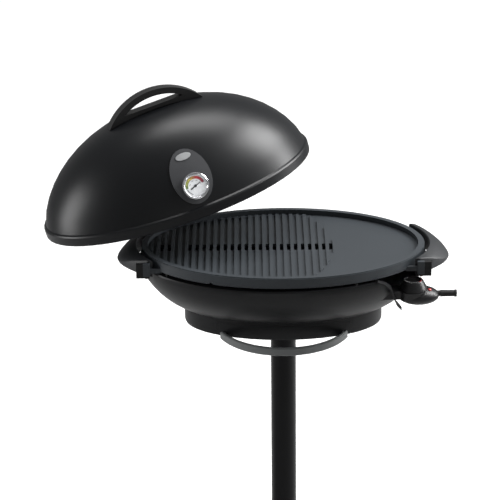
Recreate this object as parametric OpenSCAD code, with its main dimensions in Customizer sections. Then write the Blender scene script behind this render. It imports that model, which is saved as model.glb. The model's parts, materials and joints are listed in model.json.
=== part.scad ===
// Standing electric barbecue grill with a loose lid, millimetres, Z up, floor at Z = 0.
// The lid is drawn where it is held, lifted off and tilted over the left half of the plate.

/* [Grill plate] */
// Length of the oval plate
plate_len = 540; // [500:10:580]
// Depth of the oval plate
plate_dep = 360; // [330:10:390]
// Height of the plate's rim above the floor
rim_h = 800; // [760:10:860]
// Height of the plate's outer wall
plate_wall_h = 20; // [16:1:26]
// Thickness of the plate's outer wall
plate_wall_t = 6; // [4:0.5:8]
// Width of the raised rim band that the lid stands on
rim_band = 12; // [10:1:16]
// Depth of the cooking surface under the rim
cook_drop = 10; // [8:1:12]
// Thickness of the plate under the cooking surface
plate_t = 6; // [5:0.5:8]

/* [Ribs and drain slots] */
// Distance from one rib to the next
rib_pitch = 13.4; // [11:0.2:16]
// Width of a rib
rib_w = 6.6; // [5:0.2:8]
// Height of a rib
rib_tall = 3.4; // [2:0.2:5]
// Width by which a drain slot bites into the ribs beside it
slot_bite = 0.1; // [0.1:0.05:0.4]
// Length of a drain slot
slot_len = 30; // [20:1:40]
// Number of places in the row of drain slots
slot_places = 25; // [20:1:25]
// First drain slot from the plate's centre
slot_first = -230.5; // [-236:0.5:-220]
// Radius of the arc that ends the ribbed field
rib_arc_r = 298; // [270:2:320]
// Furthest reach of the ribbed field to the right
rib_reach = 96; // [80:1:110]

/* [Heating element] */
// Diameter of the element's tube
element_d = 8; // [6.5:0.5:9]
// Bend radius of the element at the plate's two ends
element_r = 100; // [80:5:105]
// Reach of the element to the left, under the place where two slots are left out
element_reach = 197; // [190:1:204]

/* [Handles] */
// Gap between the plate and a handle
handle_gap = 9; // [8:0.5:12]
// Width of a handle at its middle
handle_w = 38; // [30:1:44]
// Reach of a handle to the front and back
handle_half = 88; // [80:1:94]
// Drop of a handle's outer edge at its middle
handle_drop = 25; // [18:1:26]
// Height of a handle
handle_h = 29; // [28:1:34]
// Thickness of the plate's lugs and of the blocks on them
lug_t = 8; // [6:1:10]

/* [Housing] */
// Drop of the housing's rim under the plate's rim
bowl_drop = 25; // [24:0.5:28]
// Amount by which the housing's rim stands out past the plate
bowl_out = 5.5; // [4:0.5:8]
// Wall of the housing
bowl_wall = 3; // [2.5:0.25:4]
// Height of the bowl part of the housing
bowl_h = 99; // [90:1:108]
// Half the length of the skirt under the bowl
skirt_a = 190; // [184:1:196]
// Half the depth of the skirt
skirt_b = 106; // [100:1:112]
// Bottom of the skirt under the plate's rim
skirt_drop = 160; // [154:1:168]
// Half the width of the drip tray's window in the skirt
window_half = 127; // [124:1:130]

/* [Drip tray] */
// Half the width of the drip pan
pan_half = 98; // [80:1:100]
// Height of the drip pan
pan_h = 24; // [18:1:26]
// Wall of the drip pan
pan_wall = 1.5; // [1:0.25:2.5]
// Outer radius of the loop handle
loop_r = 131; // [128:1:133]
// Thickness of the loop's band
loop_t = 8; // [6:0.5:10]
// Height of the loop's band
loop_h = 16; // [14:1:18]
// Distance of the loop's centre in front of the pole
loop_fwd = 32; // [30:1:34]

/* [Stand] */
// Outer diameter of the pole
pole_d = 49; // [44:1:52]
// Wall of the pole's tubes
pole_wall = 1.5; // [1:0.25:3]
// Diameter of the round foot
base_d = 420; // [380:10:460]
// Thickness of the foot at its edge
base_edge = 7; // [5:1:10]
// Thickness of the pad under the foot
pad_t = 3; // [2:0.5:5]
// Height of the foot's collar above the floor
collar_h = 60; // [50:2:80]
// Length of each tube of the pole but the last
tube_len = 210; // [190:5:220]

/* [Controller] */
// Distance of the plug's axis in front of the plate's centre
plug_y = 98; // [96:1:100]
// Drop of the plug's axis under the plate's rim
plug_drop = 63; // [61:1:65]
// Length of the controller's body
ctrl_len = 78; // [70:1:80]
// Width of the controller's body
ctrl_w = 56; // [50:1:60]
// Height of the controller's body
ctrl_h = 34; // [30:1:36]
// Diameter of the temperature dial at its foot
dial_d = 52; // [44:1:54]
// Height of the temperature dial
dial_h = 19; // [16:1:22]
// Outer diameter of the cord's strain relief
relief_d = 13; // [11:0.5:15]
// Length of the strain relief
relief_len = 36; // [30:1:46]
// Bore of the strain relief for the cord
cord_d = 7; // [6:0.5:8]

/* [Lid] */
// Half the length of the lid's dome at its foot
lid_a = 265; // [258:1:268]
// Half the depth of the lid's dome at its foot
lid_b = 176.7; // [170:0.5:180]
// Height of the dome above the flange
dome_h = 154; // [140:1:165]
// Height of the flange
flange_h = 22; // [16:1:26]
// Amount by which the flange stands out past the dome
flange_out = 6; // [4:0.5:8]
// Thickness of the lid's sheet
lid_t = 1.2; // [1:0.1:2]
// Turn of the lid from the plate to where it is held
lid_turn = 23.3; // [20:0.1:26]

/* [Lid handle] */
// Radius of the handle's arch
arch_r = 122; // [116:1:128]
// Height of the handle's top above the dome
arch_top = 38; // [34:1:44]
// Thickness of the handle's bar
bar_t = 12; // [9:0.5:15]
// Width of the handle's bar
bar_w = 24; // [18:1:28]
// Thickness of the strip at the handle's foot
strip_t = 8; // [6:0.5:10]

/* [Gauge] */
// Outer diameter of the gauge
gauge_d = 51; // [46:1:54]
// Height of the gauge above the lid's edge
gauge_z = 59.5; // [56:0.5:64]
// Thickness of the gauge's case
gauge_t = 7.2; // [6:0.2:9]
// Length of the gauge's probe under the lid
probe_len = 40; // [30:1:60]

/* [Hidden] */

// Segments round an oval shell
SEG = 64;
// Clearance between neighbours that move or slide past each other
clr = 0.3;
// Clearance of a pin in its bore
fit = 0.06;
// Amount by which a cutting solid runs past a face
cut = 1;

plate_a = plate_len / 2;
plate_b = plate_dep / 2;
cook_z = rim_h - cook_drop;
plate_low = cook_z - plate_t;
wall_low = rim_h - plate_wall_h;
bowl_top = rim_h - bowl_drop;
skirt_low = rim_h - skirt_drop;
bowl_a = plate_a + bowl_out;
bowl_b = plate_b + bowl_out;
mouth_in = 6;
skirt_round = 6;
ledge = 13.5;

// An oval prism of half lengths a and b
module oval(a, b, h) {
  linear_extrude(h) scale([a, b]) circle(r = 1, $fn = 128);
}

// Points of an oval ring given as [half length, half depth, height]
function ring(r, n = SEG) = [for (j = [0 : n - 1]) let (t = 360 * j / n) [r[0] * cos(t), r[1] * sin(t), r[2]]];

// Triangles between the ring that starts at point i and the one that starts at point k
function band(i, k, n = SEG) = [for (j = [0 : n - 1]) let (q = (j + 1) % n)
  each [[i + j, k + j, k + q], [i + j, k + q, i + q]]];

// A closed tube of rings, such as a bowl wall, drawn up the outside and down the inside
module ring_wall(rings, n = SEG) {
  m = len(rings);
  polyhedron(points = [for (r = rings) each ring(r, n)],
    faces = [for (k = [0 : m - 1]) each band(k * n, ((k + 1) % m) * n, n)]);
}

// A dome wall: rings up the outside to an apex, and from an inner apex down the inside
module dome_wall(outer, top_z, inner, under_z, n = SEG) {
  m = len(outer);
  w = len(inner);
  start = m * n + 2;
  apex = m * n;
  polyhedron(
    points = concat([for (r = outer) each ring(r, n)], [[0, 0, top_z], [0, 0, under_z]],
      [for (r = inner) each ring(r, n)]),
    faces = concat(
      [for (k = [0 : m - 2]) each band(k * n, (k + 1) * n, n)],
      [for (j = [0 : n - 1]) [(m - 1) * n + j, apex, (m - 1) * n + (j + 1) % n]],
      [for (j = [0 : n - 1]) [apex + 1, start + j, start + (j + 1) % n]],
      [for (k = [0 : w - 2]) each band(start + k * n, start + (k + 1) * n, n)],
      band(start + (w - 1) * n, 0, n)));
}

/* The housing */

// Share of the bowl's spread that is left at depth u, from 0 at the rim to 1 at its mouth
function bowl_share(u) = pow(1 - pow(u, 1.6), 0.7);
mouth_a = skirt_a - mouth_in;
mouth_b = skirt_b - mouth_in;
function bowl_ring(u, inset = 0) = let (f = bowl_share(u))
  [mouth_a + (bowl_a - mouth_a) * f - inset, mouth_b + (bowl_b - mouth_b) * f - inset, bowl_top - bowl_h * u];
bowl_steps = 10;
// The bowl stops where it meets the skirt's wall
bowl_end = 0.985;
function bowl_u(i) = bowl_end * (1 - pow(1 - i / bowl_steps, 1.35));
bowl_low = bowl_top - bowl_h * bowl_end;

module housing_skin() {
  ring_wall(concat(
    [[skirt_a - skirt_round, skirt_b - skirt_round, skirt_low],
     [skirt_a - skirt_round * 0.3, skirt_b - skirt_round * 0.3, skirt_low + skirt_round * 0.3],
     [skirt_a, skirt_b, skirt_low + skirt_round],
     [skirt_a, skirt_b, bowl_low - 3]],
    [for (i = [bowl_steps : -1 : 1]) bowl_ring(bowl_u(i))],
    [[bowl_a, bowl_b, bowl_top - 3], [bowl_a - 0.8, bowl_b - 0.8, bowl_top],
     [bowl_a - ledge, bowl_b - ledge, bowl_top], [bowl_a - ledge, bowl_b - ledge, bowl_top - bowl_wall],
     [bowl_a - bowl_wall - 1, bowl_b - bowl_wall - 1, bowl_top - bowl_wall]],
    [for (i = [1 : bowl_steps]) bowl_ring(bowl_u(i), bowl_wall)],
    [[skirt_a - bowl_wall, skirt_b - bowl_wall, bowl_low - 3 - bowl_wall],
     [skirt_a - bowl_wall, skirt_b - bowl_wall, skirt_low + skirt_round],
     [skirt_a - bowl_wall - skirt_round * 0.5, skirt_b - bowl_wall - skirt_round * 0.5, skirt_low]]));
}

// The window in the front of the skirt, smaller all round by gap
window_top = bowl_low - 7;
module window(gap = 0) {
  translate([-window_half + gap, -skirt_b - 20, skirt_low - 10])
    cube([2 * (window_half - gap), 60 + 20, window_top - gap - skirt_low + 10]);
}

plug_z = rim_h - plug_drop;
notch_back = plug_y - 40;
// The notch's edge, seen from the front, as distances right of the pole and under the plate's rim
notch_edge = [[172, -23], [186, -30], [198, -44], [204, -62], [208.5, -76], [211, -84], [220, -97]];
notch_end = [300, 20];
// Free space round the controller's nose where it passes through the notch
nose_free = 1.5;
module notch() {
  first = notch_edge[0];
  last = notch_edge[len(notch_edge) - 1];
  translate([0, 0, rim_h]) rotate([90, 0, 0]) translate([0, 0, notch_back]) linear_extrude(120)
    polygon(concat(notch_edge, [[notch_end[0], last[1]], notch_end, [first[0], notch_end[1]]]));
  translate([block_x1 - 20, -plug_y - cave_half - nose_free, plug_z - cave_low - nose_free])
    cube([100, 2 * (cave_half + nose_free), 100]);
}
// Bosses in the skirt that the screws of the floor plate end in
boss_r = 5;
boss_h = 14;
screw_r = 2;
screw_free = 2.2;
module floor_bosses() {
  for (i = [0 : len(floor_screw_turns) - 1]) let (p = floor_screw_places()[i], t = floor_screw_turns[i])
    translate([p[0], p[1], floor_z + floor_t + fit]) union() {
      cylinder(r = boss_r, h = boss_h, $fn = 32);
      if (t == 90) translate([-boss_r, 0, 0]) cube([2 * boss_r, boss_reach_y, boss_h]);
      else translate([p[0] > 0 ? 0 : -boss_reach_x, -boss_r, 0]) cube([boss_reach_x, 2 * boss_r, boss_h]);
    }
}
boss_reach_x = 12.6;
boss_reach_y = 13.4;
module housing_bowl() {
  color([0.07, 0.07, 0.075])
  difference() {
    union() {
      housing_skin();
      floor_bosses();
    }
    window();
    notch();
    for (p = floor_screw_places()) translate([p[0], p[1], floor_z]) cylinder(r = screw_r + fit, h = 13, $fn = 24);
  }
}

// The plate that closes the skirt from below and carries the runners and the pole's socket
floor_t = 3;
floor_z = skirt_low + 1;
floor_in = bowl_wall + 4;
module floor_plate() {
  color([0.09, 0.09, 0.095])
  difference() {
    translate([0, 0, floor_z]) oval(skirt_a - floor_in, skirt_b - floor_in, floor_t);
    for (p = socket_screw_places()) translate([p[0], p[1], floor_z - cut]) cylinder(r = screw_r + fit, h = 10, $fn = 24);
    for (p = floor_screw_places()) translate([p[0], p[1], floor_z - cut]) cylinder(r = screw_free, h = 10, $fn = 24);
  }
}

floor_screw_turns = [20, 160, 200, 340, 90];
floor_screw_in = 8;
function floor_screw_places() = [for (t = floor_screw_turns)
  [(skirt_a - floor_in - floor_screw_in) * cos(t), (skirt_b - floor_in - floor_screw_in) * sin(t)]];
module floor_screws() {
  color("silver") for (p = floor_screw_places())
    screw([p[0], p[1], floor_z], [0, 0, 0], screw_r, 4, floor_t + 8);
}

// A pan-head screw whose head lies under the point at, and whose shank runs up local Z
module screw(at, turn, r, head, len_in) {
  translate(at) rotate(turn) union() {
    cylinder(r = r, h = len_in, $fn = 24);
    translate([0, 0, -r]) cylinder(r1 = head * 0.75, r2 = head, h = r, $fn = 24);
  }
}

// Two bars on the floor plate that guide the drip pan between them
runner_y = 78;
runner_t = 8;
module tray_runners() {
  color([0.1, 0.1, 0.1]) for (s = [-1, 1])
    translate([s > 0 ? pan_half + clr : -pan_half - clr - runner_t, -runner_y, floor_z + floor_t])
      cube([runner_t, 2 * runner_y - 20, pan_h + 4]);
}

// The aluminium dish under the element, whose opening lets fat down into the pan
shield_u = 0.42;
shield_t = 1;
shield_steps = 6;
drain_a = 70;
drain_b = 40;
shield_drop = 42;
function shield_ring(v, up) = let (r = bowl_ring(shield_u, bowl_wall + clr), e = pow(v, 0.8))
  [r[0] + (drain_a - r[0]) * v, r[1] + (drain_b - r[1]) * v, r[2] - shield_drop * e + up];
module heat_shield() {
  color("lightgrey") difference() {
    ring_wall(concat([for (i = [0 : shield_steps]) shield_ring(i / shield_steps, shield_t)],
      [for (i = [shield_steps : -1 : 0]) shield_ring(i / shield_steps, 0)]));
    translate([block_x0 - 6, block_y0 - 100, block_low - 6]) cube([200, block_y1 - block_y0 + 106, 60]);
  }
}

// Turns of the four soft pads on the housing's rim that the plate's wall stands on, clear of the notch
pad_turns = [35, 145, 215, 300];
rim_pad_r = plate_wall_t / 2 - 0.6;
module rim_pads() {
  color("dimgray") for (t = pad_turns)
    translate([(plate_a - plate_wall_t / 2) * cos(t), (plate_b - plate_wall_t / 2) * sin(t), bowl_top])
      cylinder(r = rim_pad_r, h = wall_low - bowl_top - clr, $fn = 32);
}

// The thin curved guard that lines the notch beside the controller and ends in a free tip
guard_t = 1.8;
guard_front = [150, 146, 138, 130, 121, 116, 108];
guard_back = [140, 130, 115, 115, 115, 96, 94];
guard_gap = 0.12;
module controller_guard() {
  n = len(notch_edge);
  function corner(i, side, back) = [notch_edge[i][0] + guard_gap + side * guard_t,
    back > 0 ? -guard_back[i] : -guard_front[i], rim_h + notch_edge[i][1] + guard_gap + side * guard_t * 0.7];
  color([0.1, 0.1, 0.105]) polyhedron(
    points = [for (i = [0 : n - 1], c = [[0, 0], [1, 0], [1, 1], [0, 1]]) corner(i, c[0], c[1])],
    faces = concat([[0, 1, 2], [0, 2, 3]], [[4 * n - 1, 4 * n - 2, 4 * n - 3], [4 * n - 1, 4 * n - 3, 4 * n - 4]],
      [for (i = [0 : n - 2], j = [0 : 3]) let (q = (j + 1) % 4) each
        [[4 * i + j, 4 * i + 4 + j, 4 * i + 4 + q], [4 * i + j, 4 * i + 4 + q, 4 * i + q]]]));
}

/* The stand */

pole_r = pole_d / 2;
socket_gap = 0.15;
socket_len = 34;
socket_flange = 3;
seat_z = pad_t + base_edge + 14;
base_low = pad_t;
module base_pad() {
  color([0.05, 0.05, 0.05]) cylinder(r = base_d / 2 - 4, h = pad_t, $fn = 128);
}

collar_t = 9;
// Radius of the round that joins the collar to the foot, and the pressed foot's rim
foot_blend = 14;
foot_rim = 8;
foot_sheet = 3.5;
collar_screw_r = 3;
collar_screw_drop = 12;
collar_r = pole_r + collar_t;
module base_plate() {
  edge = base_d / 2;
  color([0.06, 0.06, 0.065])
  difference() {
    translate([0, 0, base_low]) rotate_extrude($fn = 128) polygon(concat(
      [[0, base_edge + 10 - 1.5], [collar_r + 10, base_edge + 10 - foot_sheet], [edge * 0.55, base_edge + 7 - foot_sheet],
        [edge - foot_rim, base_edge - foot_sheet], [edge - foot_rim, 0], [edge - 3, 0], [edge, 3], [edge, base_edge - 3]],
      [for (t = [0 : 15 : 90]) [edge - 6 + 6 * cos(t), base_edge - 3 + 6 * sin(t)]],
      [[edge * 0.55, base_edge + 7], [collar_r + foot_blend, base_edge + 10]],
      [for (t = [0 : 15 : 90]) [collar_r + foot_blend - foot_blend * sin(t), base_edge + 10 + foot_blend - foot_blend * cos(t)]],
      [[collar_r, collar_h - base_low - 2], [collar_r - 2, collar_h - base_low], [0, collar_h - base_low]]));
    translate([0, 0, seat_z]) cylinder(r = pole_r + socket_gap, h = collar_h, $fn = 96);
    for (t = [90, 210, 330]) rotate([0, 0, t]) translate([pole_r - 2, 0, collar_h - collar_screw_drop])
      rotate([0, 90, 0]) cylinder(r = collar_screw_r + fit, h = 20, $fn = 32);
  }
}

module collar_screws() {
  color("dimgray") for (t = [90, 210, 330]) rotate([0, 0, t])
    translate([pole_r + clr, 0, collar_h - collar_screw_drop]) rotate([0, 90, 0]) difference() {
      cylinder(r = collar_screw_r, h = collar_t - 1, $fn = 32);
      translate([0, 0, collar_t - 4]) cylinder(r = 1.5, h = 5, $fn = 6);
    }
}

pole_top = floor_z - socket_flange;
module tube(z0, z1) {
  color([0.05, 0.05, 0.055]) translate([0, 0, z0]) difference() {
    cylinder(r = pole_r, h = z1 - z0, $fn = 96);
    translate([0, 0, -cut]) cylinder(r = pole_r - pole_wall, h = z1 - z0 + 2 * cut, $fn = 96);
  }
}
joint_1 = seat_z + tube_len;
joint_2 = joint_1 + tube_len;
module lower_tube() { tube(seat_z, joint_1); }
module middle_tube() { tube(joint_1, joint_2); }
module upper_tube() { tube(joint_2, pole_top); }
sleeve_half = 40;
module sleeve(z) {
  color("gray") translate([0, 0, z - sleeve_half]) difference() {
    cylinder(r = pole_r - pole_wall - fit, h = 2 * sleeve_half, $fn = 96);
    translate([0, 0, -cut]) cylinder(r = pole_r - pole_wall - 2, h = 2 * sleeve_half + 2 * cut, $fn = 96);
  }
}
module lower_sleeve() { sleeve(joint_1); }
module upper_sleeve() { sleeve(joint_2); }

socket_wall = 4;
socket_flange_r = 48;
module pole_socket() {
  color([0.08, 0.08, 0.085]) difference() {
    translate([0, 0, floor_z]) rotate_extrude($fn = 96) polygon([[0, 0], [socket_flange_r, 0],
      [socket_flange_r, -socket_flange], [pole_r + socket_wall + 5, -socket_flange],
      [pole_r + socket_wall, -socket_flange - 5], [pole_r + socket_wall, -socket_len],
      [0, -socket_len]]);
    translate([0, 0, floor_z - socket_len - cut])
      cylinder(r = pole_r + socket_gap, h = socket_len + cut - socket_flange, $fn = 96);
    for (p = socket_screw_places()) translate([p[0], p[1], floor_z - 6]) cylinder(r = 2.2, h = 10, $fn = 24);
  }
}
socket_screw_ring = 39;
function socket_screw_places() = [for (t = [45 : 90 : 315]) socket_screw_ring * [cos(t), sin(t)]];
module socket_screws() {
  color("silver") for (p = socket_screw_places())
    screw([p[0], p[1], floor_z - socket_flange], [0, 0, 0], 2, 3.6, socket_flange + floor_t);
}

/* The plate and what hangs on it */

// The half length of an oval of half lengths a and b at the distance y from its long axis
function oval_x(a, b, y) = a * sqrt(1 - y * y / (b * b));

rib_centre = rib_reach - rib_arc_r;
rib_margin = 5;
slot_w = rib_pitch - rib_w + 2 * slot_bite;
// Depth by which the ribs run down into the plate they stand on
rib_root = 1;
module ribs() {
  intersection() {
    union() {
      for (i = [-2 : slot_places]) translate([slot_first + (i - 0.5) * rib_pitch - rib_w / 2, -plate_b, 0])
        cube([rib_w, 2 * plate_b, rib_tall + rib_root]);
    }
    oval(plate_a - rim_band - rib_margin, plate_b - rim_band - rib_margin, rib_tall + rib_root);
    translate([rib_centre, 0, 0]) cylinder(r = rib_arc_r, h = rib_tall + rib_root, $fn = 128);
  }
}

lug_y = handle_half + clr;
lug_out = 9.2;
lug_x = oval_x(plate_a + handle_gap, plate_b + handle_gap, lug_y) + lug_out;
lug_low = rim_h - handle_h;
// The arm of a lug starts inside the plate's wall, and its foot clears the housing's rim
arm_x = oval_x(plate_a - plate_wall_t, plate_b - plate_wall_t, lug_y) + 1.5;
lug_foot = 13;
arm_low = bowl_top + 1.5;
arm_top = rim_h - 14;
arm_back = 3;
// Drop of a lug's top under the plate's rim, in front and at the back
lug_drop = [4, 16];
lug_screw_x = lug_x + lug_t / 2 - 2;
lug_screw_y = lug_y + lug_t / 2;
module plate_lugs() {
  for (m = [0, 1], back = [0, 1]) mirror([m, 0, 0]) mirror([0, 1 - back, 0]) {
    translate([arm_x, lug_y, arm_low]) cube([lug_x + lug_t - 2 - arm_x, lug_t - arm_back, arm_top - arm_low]);
    translate([lug_x + lug_t - lug_foot, lug_y, lug_low]) cube([lug_foot, lug_t, handle_h - lug_drop[back]]);
  }
}

// A small notch in the lower edge of the plate's wall, in front and left of the middle
drip_notch_x = -136;
drip_notch_r = 3.6;
clip_y = element_r;
clip_len = 12;
clip_places = [[-60, -1], [60, -1], [-60, 1], [60, 1]];
module grill_plate() {
  a = plate_a;
  b = plate_b;
  color([0.22, 0.23, 0.24])
  difference() {
    union() {
      difference() {
        translate([0, 0, wall_low]) oval(a, b, plate_wall_h - 1.5);
        translate([0, 0, wall_low - cut]) oval(a - plate_wall_t, b - plate_wall_t, plate_low - wall_low + cut);
        translate([0, 0, cook_z]) oval(a - rim_band, b - rim_band, plate_wall_h);
      }
      translate([0, 0, rim_h - 1.5]) difference() {
        oval(a - 1.5, b - 1.5, 1.5);
        translate([0, 0, -cut]) oval(a - rim_band, b - rim_band, 1.5 + 2 * cut);
      }
      translate([0, 0, cook_z - rib_root]) ribs();
      plate_lugs();
    }
    for (i = [0 : slot_places - 1]) if (i != 2 && i != 3)
      translate([slot_first + i * rib_pitch - slot_w / 2, -slot_len / 2, plate_low - cut])
        cube([slot_w, slot_len, plate_t + rib_tall + 2 * cut]);
    for (p = block_posts()) translate([p[0], p[1], plate_low - cut]) cylinder(r = screw_r + fit, h = 4 + cut, $fn = 24);
    translate([drip_notch_x, -plate_b, wall_low - 0.4]) rotate([-90, 0, 0]) cylinder(r = drip_notch_r, h = 60, $fn = 32);
    for (m = [0, 1], s = [-1, 1]) mirror([m, 0, 0]) translate([lug_screw_x, s * lug_screw_y, lug_low - cut])
      cylinder(r = screw_r + fit, h = 13, $fn = 24);
  }
}

element_z = plate_low - element_d / 2 - clr;
// Amount by which the knuckle at a leg's bend is thicker than the tube
knuckle = 0.2;
element_cx = element_reach - element_r;
leg_a = [132, -element_r];
leg_b_turn = 52.5;
leg_b = [element_cx + element_r * cos(leg_b_turn), -element_r * sin(leg_b_turn)];
block_top = rim_h - 30;
// Depth by which the element's legs stand in the block
leg_in = 8;
module element_bend(turn, span) {
  rotate([0, 0, turn]) rotate_extrude(angle = span, $fn = 96) translate([element_r, 0]) circle(r = element_d / 2, $fn = 32);
}
module heating_element() {
  color([0.35, 0.35, 0.36]) translate([0, 0, element_z]) union() {
    translate([-element_cx, 0, 0]) element_bend(90, 180);
    translate([element_cx, 0, 0]) element_bend(-leg_b_turn, 90 + leg_b_turn);
    translate([-element_cx, element_r, 0]) rotate([0, 90, 0]) cylinder(r = element_d / 2, h = 2 * element_cx, $fn = 32);
    translate([-element_cx, -element_r, 0]) rotate([0, 90, 0])
      cylinder(r = element_d / 2, h = leg_a[0] + element_cx, $fn = 32);
    for (p = [leg_a, leg_b]) translate([p[0], p[1], 0]) {
      sphere(r = element_d / 2 + knuckle, $fn = 32);
      translate([0, 0, block_top - leg_in - element_z + fit]) cylinder(r = element_d / 2, h = element_z - block_top + leg_in - fit, $fn = 32);
    }
  }
}

module element_clips() {
  ro = element_d / 2 + fit;
  color("silver") for (c = clip_places) translate([c[0], c[1] * clip_y, 0]) difference() {
    union() {
      translate([-clip_len / 2, 0, element_z]) rotate([0, 90, 0]) cylinder(r = ro + 1.2, h = clip_len, $fn = 48);
      translate([-clip_len / 2, -ro - 9, plate_low - 1.5 - fit]) cube([clip_len, 2 * ro + 18, 1.5]);
    }
    translate([-clip_len / 2 - cut, 0, element_z]) rotate([0, 90, 0]) cylinder(r = ro, h = clip_len + 2 * cut, $fn = 48);
    translate([-clip_len / 2 - cut, -ro - 10, plate_low - fit]) cube([clip_len + 2 * cut, 2 * ro + 20, 10]);
    translate([-clip_len / 2 - cut, -ro, element_z]) cube([clip_len + 2 * cut, 2 * ro, 10]);
  }
}

// The block that the controller plugs into
block_x0 = 114;
block_x1 = 170;
block_y0 = -plug_y - 16;
block_y1 = -56;
block_low = plug_z - 13;
cave_x = 140;
cave_half = 14.2;
cave_low = 10.75;
cave_up = 6.5;
// The posts under the plate pass the element with clr
post_r = 4.2;
post_in = 7;
pin_half = 9;
pin_r = 2.25;
probe_r = 2.75;
module terminal_block() {
  color([0.12, 0.12, 0.12]) difference() {
    union() {
      translate([block_x0, block_y0, block_low]) cube([block_x1 - block_x0, block_y1 - block_y0, block_top - block_low]);
      for (p = block_posts()) translate([p[0], p[1], block_top - 2]) cylinder(r = post_r, h = plate_low - block_top + 2, $fn = 32);
    }
    translate([cave_x, -plug_y - cave_half, plug_z - cave_low]) cube([block_x1, 2 * cave_half, cave_low + cave_up]);
    for (p = [leg_a, leg_b]) translate([p[0], p[1], block_top - leg_in]) cylinder(r = element_d / 2 + fit, h = 20, $fn = 32);
    translate([block_x0 - cut, -plug_y, plug_z]) rotate([0, 90, 0]) cylinder(r = probe_r + clr, h = 60, $fn = 32);
    for (s = [-1, 1]) translate([block_x0 + 14, -plug_y + s * pin_half, plug_z])
      rotate([0, 90, 0]) cylinder(r = pin_r + fit, h = 20, $fn = 32);
    for (p = block_posts()) translate([p[0], p[1], block_low - cut]) cylinder(r = 2.1, h = 80, $fn = 24);
  }
}
function block_posts() = [[block_x0 + post_in, block_y1 - post_in], [block_x1 - post_in - 3, block_y1 - post_in],
  [block_x0 + post_in, -element_r - element_d / 2 - clr - post_r]];
module block_screws() {
  color("silver") for (p = block_posts()) screw([p[0], p[1], block_low], [0, 0, 0], screw_r, 3.8, plate_low - block_low + 3);
}
module terminal_pins() {
  l = block_x1 - block_x0 - 20;
  color("silver") for (s = [-1, 1]) translate([block_x0 + 15, -plug_y + s * pin_half, plug_z]) rotate([0, 90, 0]) union() {
    cylinder(r = pin_r, h = l, $fn = 32);
    translate([0, 0, l]) cylinder(r1 = pin_r, r2 = pin_r - 1, h = 2, $fn = 32);
  }
}

/* Handles: a crescent whose top slopes down to its outer edge */

handle_steps = 20;
hin_a = plate_a + handle_gap;
hin_b = plate_b + handle_gap - 2;
hout_a = hin_a + handle_w;
hout_b = handle_half * hout_a / sqrt(hout_a * hout_a - pow(oval_x(hin_a, hin_b, handle_half) + 10, 2));
function handle_fall(x) = handle_drop * pow(max(0, (x - lug_x - 3) / (hout_a - lug_x - 3)), 1.3);
function handle_section(y) = let (
    xi = oval_x(hin_a, hin_b, y), xo = oval_x(hout_a, hout_b, y), f = handle_fall(xo), w = xo - xi,
    t = rim_h, lo = rim_h - handle_h)
  [[xi, y, lo], [xi, y, t - 1.5], [xi + 1.5, y, t], [xi + w * 0.3, y, t - f * 0.12], [xi + w * 0.6, y, t - f * 0.42],
   [xi + w * 0.85, y, t - f * 0.75], [xo - 0.6, y, t - f - 0.8], [xo, y, t - f - 2.5], [xo - 1, y, lo]];
module handle_solid() {
  ys = [for (i = [0 : handle_steps]) -handle_half * cos(180 * i / handle_steps)];
  pts = [for (y = ys) each handle_section(y)];
  k = 9;
  m = handle_steps;
  polyhedron(points = pts, faces = concat(
    [[for (j = [0 : k - 1]) j]],
    [[for (j = [k - 1 : -1 : 0]) m * k + j]],
    [for (i = [0 : m - 1], j = [0 : k - 1]) let (q = (j + 1) % k) each
      [[i * k + j, (i + 1) * k + j, (i + 1) * k + q], [i * k + j, (i + 1) * k + q, i * k + q]]]));
}
module handle_part() {
  difference() {
    handle_solid();
    for (s = [-1, 1]) translate([bracket_screw_x, s * bracket_screw_y, lug_low - cut]) cylinder(r = 2 + fit, h = 13, $fn = 24);
  }
}
bracket_screw_y = 52;
bracket_screw_x = (oval_x(hin_a, hin_b, bracket_screw_y) + oval_x(hout_a, hout_b, bracket_screw_y)) / 2;
module left_handle() { color([0.16, 0.16, 0.17]) mirror([1, 0, 0]) handle_part(); }
module right_handle() { color([0.16, 0.16, 0.17]) handle_part(); }

// The black bracket under a handle, with a block in front of and behind the handle's tips
bracket_t = 3;
bracket_top = lug_low - fit;
block_w = 13;
module bracket_part() {
  difference() {
    union() {
      intersection() {
        difference() {
          translate([0, 0, bracket_top - bracket_t]) oval(hout_a - 6, hout_b - 3, bracket_t);
          translate([0, 0, bracket_top - bracket_t - cut])
            oval(bowl_a + 4, bowl_b + 4, bracket_t + 2 * cut);
        }
        translate([0, -lug_y - lug_t, bracket_top - bracket_t - cut]) cube([hout_a, 2 * (lug_y + lug_t), 20]);
      }
      for (back = [0, 1]) mirror([0, 1 - back, 0]) translate([lug_x + lug_t + fit, lug_y, bracket_top - bracket_t])
        cube([block_w, lug_t, handle_h + bracket_t - lug_drop[back]]);
      for (s = [-1, 1]) translate([lug_x - 4, s > 0 ? lug_y - 4 : -lug_y - lug_t, bracket_top - bracket_t])
        cube([25, lug_t + 4, bracket_t]);
    }
    for (s = [-1, 1]) translate([bracket_screw_x, s * bracket_screw_y, bracket_top - 10]) cylinder(r = 2.3, h = 20, $fn = 24);
    for (s = [-1, 1]) translate([lug_screw_x, s * lug_screw_y, bracket_top - 10]) cylinder(r = screw_free, h = 10 + cut, $fn = 24);
  }
}
module left_bracket() { color([0.05, 0.05, 0.05]) mirror([1, 0, 0]) bracket_part(); }
module right_bracket() { color([0.05, 0.05, 0.05]) bracket_part(); }
module handle_screws() {
  color("silver") for (m = [0, 1], s = [-1, 1]) mirror([m, 0, 0])
    union() {
      screw([bracket_screw_x, s * bracket_screw_y, bracket_top - bracket_t], [0, 0, 0], screw_r, 4, 14);
      screw([lug_screw_x, s * lug_screw_y, bracket_top - bracket_t], [0, 0, 0], screw_r, 3.6, 14);
    }
}

/* The drip tray */

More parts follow.
